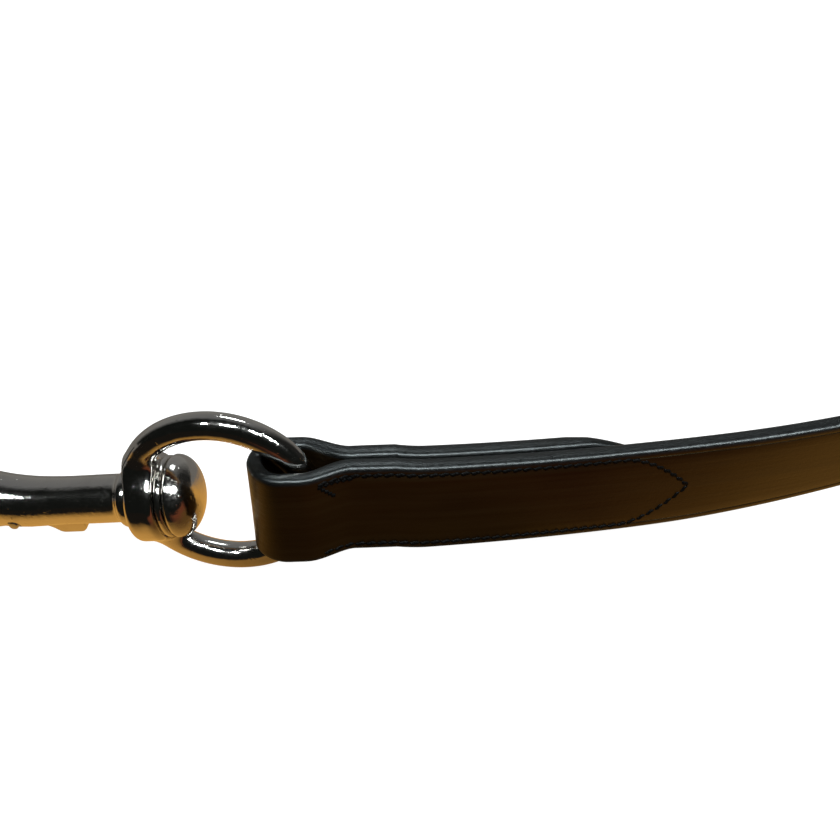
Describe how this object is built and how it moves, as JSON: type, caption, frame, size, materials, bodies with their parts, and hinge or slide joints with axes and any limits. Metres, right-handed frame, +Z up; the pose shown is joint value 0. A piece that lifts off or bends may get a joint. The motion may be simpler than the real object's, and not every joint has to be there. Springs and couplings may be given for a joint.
{
  "type": "running martingale attachment",
  "caption": "Dark leather running martingale attachment: swivel trigger snap, adjusting buckle, and a fork whose straps end in rein rings.",
  "frame": {"origin": "middle of the footprint, on the surface that the straps' lower edges and the rings stand on", "axes": "+Z up, along the straps' width; +X from the snap towards the rein rings; +Y to the side that the straps bend towards"},
  "size_m": [0.7278, 0.449, 0.046],
  "materials": {
    "nickel": "polished nickel plate over cast metal",
    "steel": "plain drawn wire and pin",
    "leather": "smooth dark havana bridle leather, black dyed edges, black thread stitching",
    "brass": "polished saddler's rivet and burr"
  },
  "bodies": {
    "straps": {"snap_strap": "leather", "body_strap": "leather", "buckle_frame": "nickel", "fixed_keeper": "leather", "fork_strap_left": "leather", "fork_strap_right": "leather", "crotch_rivet": "brass", "crotch_burr": "brass"},
    "eye": {"swivel_eye": "nickel"},
    "snap": {"hook_body": "nickel", "swivel_rivet": "nickel", "swivel_washer": "nickel", "trigger_pin": "steel", "trigger_spring": "steel"},
    "trigger": {"trigger_lever": "nickel"},
    "tongue": {"buckle_tongue": "nickel"},
    "keeper": {"sliding_keeper": "leather"},
    "left_ring": {"ring_left": "nickel"},
    "right_ring": {"ring_right": "nickel"}
  },
  "joints": [
    {"name": "eye_hinge", "type": "hinge", "parent": "straps", "child": "eye", "pos_m": [-0.25295, -0.21514, 0.0215], "axis": [0, 0, 1], "range_deg": [-12, 12]},
    {"name": "swivel", "type": "hinge", "parent": "eye", "child": "snap", "pos_m": [-0.26985, -0.21514, 0.0215], "axis": [0.9903, 0, 0.1392], "continuous": true},
    {"name": "trigger_hinge", "type": "hinge", "parent": "snap", "child": "trigger", "pos_m": [-0.31513, -0.21514, 0.01312], "axis": [0, -1, 0], "range_deg": [0, 18], "stiffness_Nm_per_rad": 0.05, "springref_deg": -20.05},
    {"name": "tongue_hinge", "type": "hinge", "parent": "straps", "child": "tongue", "pos_m": [-0.04778, -0.07571, 0.0171], "axis": [0, 0, 1], "range_deg": [0, 4]},
    {"name": "keeper_slide", "type": "slide", "parent": "straps", "child": "keeper", "axis": [0.5, 0.866, 0], "range_m": [-0.006, 0.018]},
    {"name": "left_ring_hinge", "type": "hinge", "parent": "straps", "child": "left_ring", "pos_m": [0.28186, 0.21789, 0.023], "axis": [0, 0, 1], "range_deg": [-60, 60]},
    {"name": "right_ring_hinge", "type": "hinge", "parent": "straps", "child": "right_ring", "pos_m": [0.3212, 0.16064, 0.023], "axis": [0, 0, 1], "range_deg": [-60, 60]}
  ]
}
